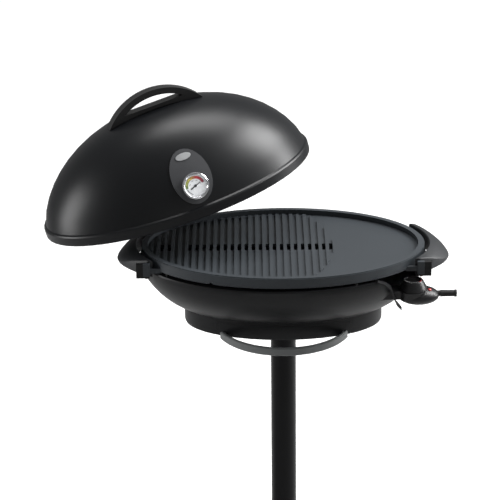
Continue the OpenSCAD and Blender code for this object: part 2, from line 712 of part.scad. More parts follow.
pan_low = floor_z + floor_t + clr;
pan_front = skirt_b - bowl_wall - 1.3;
module pan_block(in, h) {
  intersection() {
    oval(skirt_a - bowl_wall - 3 - in, pan_front - in, h);
    translate([-pan_half + in, -skirt_b, 0]) cube([2 * (pan_half - in), skirt_b + 70 - in, h]);
  }
}
module drip_pan() {
  color("darkgray") translate([0, 0, pan_low]) difference() {
    pan_block(0, pan_h);
    translate([0, 0, pan_wall]) pan_block(pan_wall, pan_h);
    for (s = [-1, 1]) translate([s * pan_screw_x, -skirt_b, pan_screw_z - pan_low]) rotate([-90, 0, 0])
      cylinder(r = screw_free, h = 40, $fn = 24);
  }
}

module tray_front() {
  color([0.07, 0.07, 0.075]) difference() {
    intersection() {
      housing_skin();
      window(clr);
      translate([-200, -200, skirt_low - cut]) cube([400, 200, 100]);
    }
    for (s = [-1, 1]) translate([s * pan_screw_x, -skirt_y(pan_screw_x) + 1, pan_screw_z]) rotate([-90, 0, 0])
      cylinder(r = screw_r + fit, h = 60, $fn = 24);
    for (s = [-1, 1]) translate([s * loop_screw_x, -skirt_b, loop_screw_z]) rotate([-90, 0, 0])
      cylinder(r = screw_free, h = 60, $fn = 24);
  }
}

loop_top = rim_h - 149;
module tray_loop() {
  color([0.2, 0.21, 0.21]) difference() {
    translate([0, -loop_fwd, loop_top - loop_h]) rotate([0, 0, 180]) rotate_extrude(angle = 180, $fn = 128)
      polygon([[loop_r - loop_t, 2], [loop_r - loop_t + 2, 0], [loop_r - 2, 0], [loop_r, 2],
        [loop_r, loop_h - 2], [loop_r - 2, loop_h], [loop_r - loop_t + 2, loop_h], [loop_r - loop_t, loop_h - 2]]);
    translate([0, 0, loop_top - loop_h - cut]) oval(skirt_a + fit, skirt_b + fit, loop_h + 2 * cut);
    for (s = [-1, 1]) translate([s * loop_screw_x, -skirt_y(loop_screw_x) - 5, loop_screw_z]) rotate([-90, 0, 0])
      cylinder(r = screw_r + fit, h = 60, $fn = 24);
  }
}
// Screws from inside: two through the pan into the front, and two through the front into the loop
pan_screw_x = 60;
pan_screw_z = pan_low + pan_h / 2 + 4;
loop_screw_x = 112;
// Distance of a loop screw's head from the inner face of the slanting front
loop_screw_seat = 1.8;
loop_screw_z = skirt_low + skirt_round + 2;
function skirt_y(x) = oval_x(skirt_b, skirt_a, x);
module loop_screws() {
  color("silver") for (s = [-1, 1]) {
    screw([s * pan_screw_x, -pan_y(pan_screw_x) + 1.2, pan_screw_z], [90, 0, 0], screw_r, 4, 5.6);
    screw([s * loop_screw_x, -skirt_y(loop_screw_x) + bowl_wall + loop_screw_seat, loop_screw_z], [90, 0, 0], screw_r, 2.8,
      bowl_wall + loop_screw_seat + 4);
  }
}
function pan_y(x) = (pan_front - pan_wall) * sqrt(1 - x * x / pow(skirt_a - bowl_wall - 3 - pan_wall, 2));

/* The plug-in controller */

ctrl_x0 = 214;
ctrl_cx = ctrl_x0 + ctrl_len / 2;
nose_x = block_x1 - 8;
ctrl_z = plug_z - 7;
dial_x = ctrl_cx - 10;
plinth_r = dial_d / 2 + 2.6;
plinth_z = ctrl_z + 12.5;
relief_z = plug_z - 4;
module ctrl_body() {
  union() {
    translate([ctrl_cx, -plug_y, ctrl_z]) scale([ctrl_len / 2, ctrl_w / 2, ctrl_h / 2]) sphere(r = 1, $fn = 64);
    translate([dial_x, -plug_y, ctrl_z - 6]) cylinder(r1 = plinth_r - 3, r2 = plinth_r, h = plinth_z - ctrl_z + 6, $fn = 64);
    translate([nose_x, -plug_y - cave_half + clr, plug_z - cave_low + clr])
      cube([ctrl_x0 + 16 - nose_x, 2 * (cave_half - clr), cave_low + cave_up - 2 * clr]);
  }
}
module ctrl_bores() {
  translate([0, -plug_y, plug_z]) rotate([0, 90, 0]) cylinder(r = probe_r + fit, h = ctrl_x0 + 8, $fn = 32);
  for (s = [-1, 1]) translate([0, -plug_y + s * pin_half, plug_z]) rotate([0, 90, 0])
    cylinder(r = contact_r + fit, h = ctrl_x0 + 8, $fn = 32);
  translate([relief_x, -plug_y, relief_z]) rotate([0, 90, 0]) cylinder(r = relief_d / 2 - 1 + fit, h = 40, $fn = 48);
}
split_z = plug_z;
module controller_base() {
  color([0.08, 0.08, 0.085]) difference() {
    intersection() {
      ctrl_body();
      translate([150, -plug_y - 50, split_z - 60]) cube([200, 100, 60]);
    }
    ctrl_bores();
    for (p = ctrl_screw_places()) translate([p[0], p[1], ctrl_z - 40]) cylinder(r = 2, h = 60, $fn = 24);
    for (p = ctrl_screw_places()) translate([p[0], p[1], ctrl_z - 40]) cylinder(r = 3.4, h = 40 - 8, $fn = 24);
  }
}
spindle_r = 3;
lamp_x = ctrl_cx + 20;
lamp_y = -plug_y - 8;
lamp_r = 3.5;
module controller_top() {
  color([0.08, 0.08, 0.085]) difference() {
    intersection() {
      ctrl_body();
      translate([150, -plug_y - 50, split_z]) cube([200, 100, 60]);
    }
    ctrl_bores();
    translate([dial_x, -plug_y, split_z - cut]) cylinder(r = spindle_r + fit, h = 40, $fn = 32);
    translate([lamp_x, lamp_y, split_z - cut]) cylinder(r = lamp_r + fit, h = 20, $fn = 32);
    for (p = ctrl_screw_places()) translate([p[0], p[1], split_z - cut]) cylinder(r = 1.6 + fit, h = 3.5 + cut, $fn = 24);
    translate([dial_x, -plug_y, plinth_z]) cylinder(r = dial_r + 0.6, h = 20, $fn = 64);
  }
}
function ctrl_screw_places() = [for (s = [-1, 1]) [ctrl_cx + 8, -plug_y + s * 15]];
module controller_screws() {
  color("silver") for (p = ctrl_screw_places()) screw([p[0], p[1], ctrl_z - 8], [0, 0, 0], 1.6, 3, split_z - ctrl_z + 11);
}
lamp_h = 7.5;
contact_r = 3.5;
module contact_sleeves() {
  color("goldenrod") for (s = [-1, 1]) translate([cave_x + 6, -plug_y + s * pin_half, plug_z]) rotate([0, 90, 0]) difference() {
    cylinder(r = contact_r, h = ctrl_x0 + 8 - cave_x - 6, $fn = 32);
    translate([0, 0, -cut]) cylinder(r = pin_r + fit, h = block_x1 - cave_x, $fn = 32);
  }
}
module sensor_probe() {
  color("silver") translate([block_x0 + 4, -plug_y, plug_z]) rotate([0, 90, 0]) union() {
    cylinder(r = probe_r, h = ctrl_x0 + 8 - block_x0 - 4, $fn = 32);
    sphere(r = probe_r, $fn = 32);
  }
}
module lamp_lens() {
  color("red") translate([lamp_x, lamp_y, split_z + fit]) union() {
    cylinder(r = lamp_r, h = lamp_h, $fn = 32);
    translate([0, 0, lamp_h]) scale([1, 1, 0.4]) sphere(r = lamp_r, $fn = 32);
  }
}
relief_x = ctrl_cx + ctrl_len / 2 - 12;
module strain_relief() {
  color([0.06, 0.06, 0.06]) translate([relief_x, -plug_y, relief_z]) rotate([0, 90, 0]) difference() {
    rotate_extrude($fn = 48) polygon([[cord_d / 2, 0], [relief_d / 2 - 1, 0], [relief_d / 2 - 1, 13],
      [relief_d / 2, 14], [relief_d / 2 - 0.5, relief_len + 4],
      [relief_d / 2 + 0.5, relief_len + 5], [relief_d / 2 + 0.5, relief_len + 9], [cord_d / 2, relief_len + 9]]);
    for (i = [0 : 4], s = [0, 180]) rotate([0, 0, s + 90 * (i % 2)]) translate([relief_d / 2 - 1.2, -4, 19 + 4 * i])
      cube([4, 8, 1.6]);
  }
}

dial_r = dial_d / 2;
dial_dish = 4;
dial_dish_r = dial_r - 11;
dial_low = plinth_z + clr;
module temperature_dial() {
  color([0.09, 0.09, 0.095]) translate([dial_x, -plug_y, dial_low]) difference() {
    union() {
      rotate_extrude($fn = 96) polygon([[0, 0], [dial_r, 0], [dial_r, 2], [dial_r - 1.5, 6], [dial_r - 4.5, 12],
        [dial_r - 7, dial_h - 2], [dial_r - 8.5, dial_h], [0, dial_h]]);
      translate([0, 0, split_z - dial_low + 3]) cylinder(r = spindle_r, h = dial_low - split_z - 3 + cut, $fn = 32);
    }
    translate([0, 0, dial_h - dial_dish]) cylinder(r = dial_dish_r, h = dial_dish + cut, $fn = 64);
  }
}
module dial_cap() {
  color("darkred") translate([dial_x, -plug_y, dial_low + dial_h - dial_dish]) difference() {
    cylinder(r = dial_dish_r - 0.15, h = 1.6, $fn = 64);
    translate([dial_dish_r - 8, -1, 1]) cube([10, 2, 2]);
  }
}

/* The lid, drawn on the plate and then turned to where it is held */

lid_axis = [-0.0822, -0.6252, 0.7761];
lid_pivot = [-402, -310, -292];
lid_gap = clr;
module held() {
  p = lid_pivot + [0, 0, rim_h];
  translate(p) rotate(a = lid_turn, v = lid_axis) translate(-p)
    translate([0, 0, rim_h + lid_gap]) children();
}

// Share of the dome's spread that is left at the share k of its height
function dome_share(k) = pow(1 - pow(k, 1.463), 1 / 2.425);
dome_steps = 11;
function dome_k(i) = 1 - pow(1 - i / dome_steps, 1.7);
function dome_ring(i, in) = let (k = dome_k(i), s = dome_share(k))
  [(lid_a - in) * s, (lid_b - in) * s, flange_h + (dome_h - in) * k];
// Front surface of the dome at the place x, z on the lid
function dome_y(x, z) = -lid_b * sqrt(pow(dome_share(max(0, (z - flange_h) / dome_h)), 2) - x * x / (lid_a * lid_a));

module lid_solid() {
  fo = flange_out;
  dome_wall(
    concat([[lid_a + fo - 1, lid_b + fo - 1, 0], [lid_a + fo, lid_b + fo, 1.5], [lid_a + fo, lid_b + fo, flange_h - 5],
      [lid_a + fo - 1.5, lid_b + fo - 1.5, flange_h - 2.5], [lid_a + 1, lid_b + 1, flange_h - 0.5]],
      [for (i = [1 : dome_steps - 1]) dome_ring(i, 0)]),
    flange_h + dome_h,
    concat([for (i = [dome_steps - 1 : -1 : 1]) dome_ring(i, lid_t)],
      [[lid_a - lid_t, lid_b - lid_t, flange_h - 0.5 - lid_t],
       [lid_a + fo - lid_t - 1, lid_b + fo - lid_t - 1, flange_h - 2.5 - lid_t],
       [lid_a + fo - lid_t, lid_b + fo - lid_t, 0]]),
    flange_h + dome_h - lid_t);
}

// The gauge's axis leaves the dome square to it
gauge_slope = atan((dome_y(0, gauge_z - 2) - dome_y(0, gauge_z + 2)) / -4);
module at_gauge() {
  translate([0, dome_y(0, gauge_z), gauge_z]) rotate([90 - gauge_slope, 0, 0]) children();
}
gauge_stem_r = 5;
handle_screw_x = 82;

module lid_shell() {
  color([0.06, 0.06, 0.065]) held() difference() {
    lid_solid();
    at_gauge() translate([0, 0, -15]) cylinder(r = gauge_stem_r + 0.3, h = 30, $fn = 32);
    for (s = [-1, 1]) translate([s * handle_screw_x, 0, dome_h - 20]) cylinder(r = 2.3, h = 60, $fn = 24);
  }
}

lid_top = flange_h + dome_h;
arch_z = lid_top + arch_top - arch_r;
// Radius of the cylinder that the handle's foot follows over the dome
foot_r = 500;
module lid_handle() {
  color([0.05, 0.05, 0.055]) held() difference() {
    rotate([90, 0, 0]) translate([0, 0, -bar_w / 2]) linear_extrude(bar_w) difference() {
      intersection() {
        translate([0, arch_z]) circle(r = arch_r, $fn = 128);
        translate([-arch_r, lid_top - 12]) square([2 * arch_r, 60]);
      }
      intersection() {
        translate([0, arch_z]) circle(r = arch_r - bar_t, $fn = 128);
        translate([-arch_r, lid_top + strip_t]) square([2 * arch_r, 60]);
      }
      translate([0, lid_top + 0.8 - foot_r]) circle(r = foot_r, $fn = 256);
    }
    for (s = [-1, 1]) translate([s * handle_screw_x, 0, lid_top - 14]) cylinder(r = 2 + fit, h = 16, $fn = 24);
  }
}
module lid_handle_screws() {
  color("silver") held() for (s = [-1, 1])
    screw([s * handle_screw_x, 0, lid_top - 11], [0, 0, 0], 2, 4, 12.5);
}

// An oval patch that lies on the dome's front, from lift low to lift high above it
patch_rings = 3;
patch_seg = 32;
function patch_point(cz, hx, hz, rho, t, lift) = let (x = hx * rho * cos(t), z = cz + hz * rho * sin(t))
  [x, dome_y(x, z) - lift, z + lift * 0.4];
module dome_patch(cz, hx, hz, low, high) {
  n = patch_seg;
  m = patch_rings;
  pts = concat([for (l = [high, low]) patch_point(cz, hx, hz, 0, 0, l)],
    [for (l = [high, low], r = [1 : m], j = [0 : n - 1]) patch_point(cz, hx, hz, r / m, 360 * j / n, l)]);
  function id(side, r, j) = 2 + side * m * n + (r - 1) * n + j % n;
  polyhedron(points = pts, faces = concat(
    [for (j = [0 : n - 1]) [0, id(0, 1, j + 1), id(0, 1, j)]],
    [for (j = [0 : n - 1]) [1, id(1, 1, j), id(1, 1, j + 1)]],
    [for (r = [1 : m - 1], j = [0 : n - 1]) each [
      [id(0, r, j), id(0, r, j + 1), id(0, r + 1, j + 1)], [id(0, r, j), id(0, r + 1, j + 1), id(0, r + 1, j)],
      [id(1, r, j), id(1, r + 1, j + 1), id(1, r, j + 1)], [id(1, r, j), id(1, r + 1, j), id(1, r + 1, j + 1)]]],
    [for (j = [0 : n - 1]) each [
      [id(0, m, j), id(0, m, j + 1), id(1, m, j + 1)], [id(0, m, j), id(1, m, j + 1), id(1, m, j)]]]));
}
badge_mid = 75.5;
badge_hx = 38.5;
badge_hz = 48.5;
badge_t = 1.4;
module badge_plate() {
  color([0.13, 0.13, 0.14]) held() difference() {
    dome_patch(badge_mid, badge_hx, badge_hz, 0.3, 0.3 + badge_t);
    at_gauge() translate([0, 0, -15]) cylinder(r = gauge_stem_r + 0.3, h = 30, $fn = 32);
  }
}
inlay_z = 112;
module badge_inlay() {
  color("silver") held() dome_patch(inlay_z, 15, 5.5, badge_t + 0.45, badge_t + 1.3);
}

gauge_r = gauge_d / 2;
case_low = badge_t + 0.9;
case_r = gauge_r - 1.5;
face_r = gauge_r - 2.9;
spindle_hole = 0.8;
face_low = case_low + 1.6;
module gauge_case() {
  color("silver") held() at_gauge() difference() {
    union() {
      translate([0, 0, case_low]) cylinder(r = case_r, h = gauge_t, $fn = 96);
      translate([0, 0, -12]) cylinder(r = gauge_stem_r, h = 12 + case_low + cut, $fn = 32);
      translate([0, 0, -probe_len]) cylinder(r = 2.5, h = probe_len, $fn = 32);
    }
    translate([0, 0, face_low]) cylinder(r = face_r + 0.2, h = gauge_t, $fn = 96);
    translate([0, 0, face_low - 1]) cylinder(r = spindle_hole + fit, h = 3, $fn = 24);
  }
}
module gauge_face() {
  color("white") held() at_gauge() translate([0, 0, face_low]) difference() {
    cylinder(r = face_r, h = 0.8, $fn = 96);
    translate([0, 0, -cut]) cylinder(r = spindle_hole + fit, h = 3, $fn = 24);
  }
}
// Turn of the pointer from the gauge's right, as read in the photograph
pointer_turn = 20;
pointer_tail = 11;
pointer_tip = gauge_r - 13.5;
module gauge_pointer() {
  color("black") held() at_gauge() translate([0, 0, face_low + 1.3]) union() {
    linear_extrude(0.6) rotate([0, 0, pointer_turn]) polygon([[-pointer_tail, -1.4], [pointer_tip, -0.4], [pointer_tip, 0.4],
      [-pointer_tail, 1.4]]);
    cylinder(r = 2.6, h = 1.2, $fn = 32);
    translate([0, 0, -2]) cylinder(r = spindle_hole, h = 2.2, $fn = 24);
  }
}
module gauge_glass() {
  color([0.8, 0.9, 0.95, 0.3]) held() at_gauge() translate([0, 0, case_low + gauge_t - 1.6])
    cylinder(r = face_r, h = 1.4, $fn = 96);
}
module gauge_bezel() {
  color("gainsboro") held() at_gauge() translate([0, 0, case_low + gauge_t + 0.05]) rotate_extrude($fn = 96)
    polygon([[gauge_r - 4.2, 0], [gauge_r - 0.2, 0], [gauge_r, 0.6], [gauge_r - 0.4, 1.6], [gauge_r - 1.6, 2.2],
      [gauge_r - 3.2, 2], [gauge_r - 4.2, 1]]);
}
module gauge_nut() {
  color("silver") held() at_gauge() translate([0, 0, -lid_t - 5.6]) difference() {
    cylinder(r = 9, h = 4, $fn = 6);
    translate([0, 0, -cut]) cylinder(r = gauge_stem_r + fit, h = 8, $fn = 32);
  }
}

base_pad();
base_plate();
collar_screws();
lower_tube();
middle_tube();
upper_tube();
lower_sleeve();
upper_sleeve();
pole_socket();
socket_screws();
floor_plate();
floor_screws();
housing_bowl();
heat_shield();
rim_pads();
tray_runners();
controller_guard();
grill_plate();
heating_element();
element_clips();
terminal_block();
terminal_pins();
block_screws();
left_handle();
right_handle();
left_bracket();
right_bracket();
handle_screws();
drip_pan();
tray_front();
tray_loop();
loop_screws();
controller_top();
controller_base();
sensor_probe();
contact_sleeves();
lamp_lens();
strain_relief();
controller_screws();
temperature_dial();
dial_cap();
lid_shell();
lid_handle();
lid_handle_screws();
badge_plate();
badge_inlay();
gauge_case();
gauge_bezel();
gauge_face();
gauge_glass();
gauge_nut();
gauge_pointer();
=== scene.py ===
# %% [markdown]
# # A standing electric grill with its lid lifted off
#
# The grill is an oval plate in a black housing on a pole. Its parts come from a imported CAD
# model, which fixes every size and every moving body. This lesson gives them their looks.
# It starts by loading that frame.

# %% Load the frame
import json
import math

import bmesh
import bpy
from mathutils import Matrix, Vector


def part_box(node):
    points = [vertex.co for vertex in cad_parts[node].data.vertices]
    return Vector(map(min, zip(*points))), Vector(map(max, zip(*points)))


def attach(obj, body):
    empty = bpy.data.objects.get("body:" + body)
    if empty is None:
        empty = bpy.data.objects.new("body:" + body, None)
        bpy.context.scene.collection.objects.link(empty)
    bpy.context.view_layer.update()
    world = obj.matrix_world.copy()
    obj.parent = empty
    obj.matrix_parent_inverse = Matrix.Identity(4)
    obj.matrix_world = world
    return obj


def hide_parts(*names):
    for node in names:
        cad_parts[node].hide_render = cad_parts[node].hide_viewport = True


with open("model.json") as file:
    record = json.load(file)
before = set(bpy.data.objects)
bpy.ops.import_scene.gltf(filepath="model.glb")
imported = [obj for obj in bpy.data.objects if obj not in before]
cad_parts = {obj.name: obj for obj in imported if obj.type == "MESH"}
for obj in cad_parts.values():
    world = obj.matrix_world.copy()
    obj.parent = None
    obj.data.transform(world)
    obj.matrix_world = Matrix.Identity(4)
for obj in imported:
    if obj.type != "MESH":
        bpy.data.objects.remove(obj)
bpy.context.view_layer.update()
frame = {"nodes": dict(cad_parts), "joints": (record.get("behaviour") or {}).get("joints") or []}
NODES = frame["nodes"]

# %% [markdown]
# ## The camera
#
# The photograph was taken from in front, a little over four metres away and looking down
# by 22 degrees, with a long lens. A long lens keeps the oval plate an even oval. The
# camera is put at the place that was worked out from the plate, the pole and the lid.

# %% Camera
CAMERA_PLACE = (-0.063, -4.2393, 2.5314)
CAMERA_DOWN = 22.4
# The photographer's camera hung a little to one side
CAMERA_ROLL = -0.55
LENS = 172.8
SENSOR = 36.0
camera_data = bpy.data.cameras.new("photo_camera")
camera_data.lens = LENS
camera_data.sensor_width = SENSOR
camera = bpy.data.objects.new("photo_camera", camera_data)
camera.location = CAMERA_PLACE
look_down = Matrix.Rotation(math.radians(90 - CAMERA_DOWN), 3, "X")
camera.rotation_euler = (look_down @ Matrix.Rotation(math.radians(CAMERA_ROLL), 3, "Z")).to_euler()
bpy.context.scene.collection.objects.link(camera)
bpy.context.scene.camera = camera
print("camera", CAMERA_PLACE, "lens", LENS)

# %% [markdown]
# ## Light and floor
#
# A catalogue picture of a black object needs large soft lights, because black lacquer
# shows little but its highlights. One broad light hangs high on the right and makes the
# sheen on the dome. One beside it lights the right flank, and one overhead the top. One
# on the left lifts the edge of the lid, and a faint one in front shows the housing.
#
# The floor and the world are white to the camera and through glass. Glossy rays meet a
# dimmer world, because black lacquer washes out to grey in a white one.

# %% Light and floor
scene = bpy.context.scene
scene.view_settings.view_transform = "Standard"
WORLD_LIGHT = 0.38
WORLD_MIRRORED = 0.28
WHITE = 1.0
LIGHT_AIM = Vector((0, 0, 0.85))


def strength_by_ray(tree, lit, mirrored, seen):
    """Gives seen to the camera and through glass, mirrored to glossy rays, lit to the rest."""
    path = tree.nodes.new("ShaderNodeLightPath")
    direct = tree.nodes.new("ShaderNodeMath")
    direct.operation = "MAXIMUM"
    tree.links.new(path.outputs["Is Camera Ray"], direct.inputs[0])
    tree.links.new(path.outputs["Is Transmission Ray"], direct.inputs[1])
    gloss = tree.nodes.new("ShaderNodeMapRange")
    gloss.inputs["To Min"].default_value = lit
    gloss.inputs["To Max"].default_value = mirrored
    tree.links.new(path.outputs["Is Glossy Ray"], gloss.inputs["Value"])
    mix = tree.nodes.new("ShaderNodeMix")
    tree.links.new(direct.outputs[0], mix.inputs["Factor"])
    tree.links.new(gloss.outputs["Result"], mix.inputs["A"])
    mix.inputs["B"].default_value = seen
    return mix.outputs["Result"]


world = bpy.data.worlds.new("studio")
scene.world = world
world.use_nodes = True
background = world.node_tree.nodes["Background"]
background.inputs["Color"].default_value = (1, 1, 1, 1)
world_strength = strength_by_ray(world.node_tree, WORLD_LIGHT, WORLD_MIRRORED, WHITE)
world.node_tree.links.new(world_strength, background.inputs["Strength"])


def area_light(name, place, size, power):
    """A soft rectangular light at place, turned to the grill."""
    data = bpy.data.lights.new(name, "AREA")
    data.shape = "RECTANGLE"
    data.size, data.size_y = size
    data.energy = power
    lamp = bpy.data.objects.new(name, data)
    lamp.location = place
    lamp.rotation_euler = (LIGHT_AIM - Vector(place)).to_track_quat("-Z", "Y").to_euler()
    scene.collection.objects.link(lamp)


# Each lamp's place and size in metres, and its power in watts
LAMPS = (
    ("high_right", (1.8, 0.4, 2.6), (1.3, 1.3), 128),
    ("right_side", (2.6, 0.5, 1.5), (0.8, 1.2), 70),
    ("overhead", (0.1, 0.7, 3.3), (1.8, 1.0), 62),
    ("left_edge", (-2.4, -0.3, 1.1), (0.9, 1.4), 42),
    ("low_front", (0.9, -3.2, 1.1), (1.6, 0.5), 3),
)
for lamp_row in LAMPS:
    area_light(*lamp_row)

FLOOR_REACH = 14.0
# The floor lies a hair under the foot, so that the two faces don't fight
FLOOR_LEVEL = -0.0005
FLOOR_GLOW = 0.78
FLOOR_GREY = 0.42
floor_mesh = bpy.data.meshes.new("floor")
floor_corners = [(x * FLOOR_REACH, y * FLOOR_REACH, FLOOR_LEVEL)
                 for x, y in ((-1, -1), (1, -1), (1, 1), (-1, 1))]
floor_mesh.from_pydata(floor_corners, [], [(0, 1, 2, 3)])
floor = bpy.data.objects.new("floor", floor_mesh)
scene.collection.objects.link(floor)
floor_paint = bpy.data.materials.new("floor_white")
floor_paint.use_nodes = True
shader = floor_paint.node_tree.nodes["Principled BSDF"]
shader.inputs["Base Color"].default_value = (FLOOR_GREY, FLOOR_GREY, FLOOR_GREY, 1)
shader.inputs["Roughness"].default_value = 0.9
shader.inputs["Specular IOR Level"].default_value = 0.1
shader.inputs["Emission Color"].default_value = (1, 1, 1, 1)
floor_strength = strength_by_ray(floor_paint.node_tree, 0.0, 0.0, FLOOR_GLOW)
floor_paint.node_tree.links.new(floor_strength, shader.inputs["Emission Strength"])
floor_mesh.materials.append(floor_paint)

# %% [markdown]
# ## Shared surface effects
#
# Three effects come back on many pieces: the fine pebbled skin of moulded plastic and
# baked lacquer, a slow change of tone over a large surface, and faint rubbed streaks on
# steel. Each is a node group with named inputs, built once and used with other values.

# %% Shared node groups


def new_group(name, inputs, outputs):
    """An empty shader node group with named sockets."""
    group = bpy.data.node_groups.new(name, "ShaderNodeTree")
    for label, kind, value in inputs:
        socket = group.interface.new_socket(label, in_out="INPUT", socket_type=kind)
        socket.default_value = value
    for label, kind in outputs:
        group.interface.new_socket(label, in_out="OUTPUT", socket_type=kind)
    return group, group.nodes.new("NodeGroupInput"), group.nodes.new("NodeGroupOutput")


def pebble_group():
    """Height of a fine pebbled skin, from fine noise."""
    group, into, out = new_group("pebbled_skin", [("Size", "NodeSocketFloat", 0.0008)],
                                 [("Height", "NodeSocketFloat")])
    nodes, links = group.nodes, group.links
    where = nodes.new("ShaderNodeTexCoord")
    scale = nodes.new("ShaderNodeMath")
    scale.operation = "DIVIDE"
    scale.inputs[0].default_value = 1.0
    links.new(into.outputs["Size"], scale.inputs[1])
    noise = nodes.new("ShaderNodeTexNoise")
    noise.inputs["Detail"].default_value = 3.0
    links.new(where.outputs["Object"], noise.inputs["Vector"])
    links.new(scale.outputs[0], noise.inputs["Scale"])
    links.new(noise.outputs["Fac"], out.inputs["Height"])
    return group


def tone_group():
    """A colour and a roughness that drift slowly over the piece, with fine specks of dust."""
    group, into, out = new_group(
        "drifting_tone",
        [("Colour", "NodeSocketColor", (0.5, 0.5, 0.5, 1)), ("Roughness", "NodeSocketFloat", 0.4),
         ("Drift", "NodeSocketFloat", 0.15), ("Patch", "NodeSocketFloat", 0.12),
         ("Specks", "NodeSocketFloat", 0.05)],
        [("Colour", "NodeSocketColor"), ("Roughness", "NodeSocketFloat")])
    nodes, links = group.nodes, group.links
    where = nodes.new("ShaderNodeTexCoord")
    scale = nodes.new("ShaderNodeMath")
    scale.operation = "DIVIDE"
    scale.inputs[0].default_value = 1.0
    links.new(into.outputs["Patch"], scale.inputs[1])
    slow = nodes.new("ShaderNodeTexNoise")
    slow.inputs["Detail"].default_value = 4.0
    links.new(where.outputs["Object"], slow.inputs["Vector"])
    links.new(scale.outputs[0], slow.inputs["Scale"])
    fine = nodes.new("ShaderNodeTexNoise")
    fine.inputs["Scale"].default_value = 900.0
    fine.inputs["Detail"].default_value = 1.0
    links.new(where.outputs["Object"], fine.inputs["Vector"])
    speck = nodes.new("ShaderNodeMapRange")
    speck.inputs["From Min"].default_value = 0.66
    speck.inputs["From Max"].default_value = 0.8
    links.new(fine.outputs["Fac"], speck.inputs["Value"])
    speck_share = nodes.new("ShaderNodeMath")
    speck_share.operation = "MULTIPLY"
    links.new(speck.outputs["Result"], speck_share.inputs[0])
    links.new(into.outputs["Specks"], speck_share.inputs[1])
    # The drift moves the brightness up and down round 1
    centre = nodes.new("ShaderNodeMath")
    centre.operation = "SUBTRACT"
    centre.inputs[1].default_value = 0.5
    links.new(slow.outputs["Fac"], centre.inputs[0])
    swing = nodes.new("ShaderNodeMath")
    swing.operation = "MULTIPLY"
    links.new(centre.outputs[0], swing.inputs[0])
    links.new(into.outputs["Drift"], swing.inputs[1])
    gain = nodes.new("ShaderNodeMath")
    gain.operation = "MULTIPLY_ADD"
    gain.inputs[1].default_value = 2.0
    gain.inputs[2].default_value = 1.0
    links.new(swing.outputs[0], gain.inputs[0])
    tinted = nodes.new("ShaderNodeVectorMath")
    tinted.operation = "SCALE"
    links.new(into.outputs["Colour"], tinted.inputs[0])
    links.new(gain.outputs[0], tinted.inputs["Scale"])
    dusty = nodes.new("ShaderNodeMix")
    dusty.data_type = "RGBA"
    dusty.inputs["B"].default_value = (0.45, 0.45, 0.44, 1)
    links.new(speck_share.outputs[0], dusty.inputs["Factor"])
    links.new(tinted.outputs["Vector"], dusty.inputs["A"])
    rough = nodes.new("ShaderNodeMath")
    rough.operation = "ADD"
    links.new(into.outputs["Roughness"], rough.inputs[0])
    links.new(swing.outputs[0], rough.inputs[1])
    links.new(dusty.outputs["Result"], out.inputs["Colour"])
    links.new(rough.outputs[0], out.inputs["Roughness"])
    return group


def brushed_group():
    """Long fine scratches along one axis, as height and as a change of roughness."""
    group, into, out = new_group(
        "rubbed_metal",
        [("Along", "NodeSocketVector", (1, 1, 1)), ("Roughness", "NodeSocketFloat", 0.3)],
        [("Height", "NodeSocketFloat"), ("Roughness", "NodeSocketFloat")])
    nodes, links = group.nodes, group.links
    where = nodes.new("ShaderNodeTexCoord")
    stretch = nodes.new("ShaderNodeVectorMath")
    stretch.operation = "MULTIPLY"
    links.new(where.outputs["Object"], stretch.inputs[0])
    links.new(into.outputs["Along"], stretch.inputs[1])
    noise = nodes.new("ShaderNodeTexNoise")
    noise.inputs["Scale"].default_value = 900.0
    noise.inputs["Detail"].default_value = 3.0
    links.new(stretch.outputs["Vector"], noise.inputs["Vector"])
    spread = nodes.new("ShaderNodeMapRange")
    spread.inputs["To Min"].default_value = -0.08
    spread.inputs["To Max"].default_value = 0.08
    links.new(noise.outputs["Fac"], spread.inputs["Value"])
    rough = nodes.new("ShaderNodeMath")
    rough.operation = "ADD"
    links.new(into.outputs["Roughness"], rough.inputs[0])
    links.new(spread.outputs["Result"], rough.inputs[1])
    links.new(noise.outputs["Fac"], out.inputs["Height"])
    links.new(rough.outputs[0], out.inputs["Roughness"])
    return group


PEBBLES, TONE, RUBBED = pebble_group(), tone_group(), brushed_group()
print("node groups", [g.name for g in bpy.data.node_groups])

# %% [markdown]
# ## Finishes
#
# Each finish is one material: baked lacquer, moulded plastic, cast and coated metal, bare
# steel, rubber, chrome and glass. A helper places the shared groups in a new material,
# and sets what is the same all over on the shader's own sockets.

# %% Finish helpers


def group_node(tree, group, **values):
    """Places a shared group in a material and sets its named inputs."""
    node = tree.nodes.new("ShaderNodeGroup")
    node.node_tree = group
    for label, value in values.items():
        node.inputs[label].default_value = value
    return node


PEBBLE_DEPTH = 0.0002
STREAK_DEPTH = 0.00005
COAT_ROUGH = 0.2


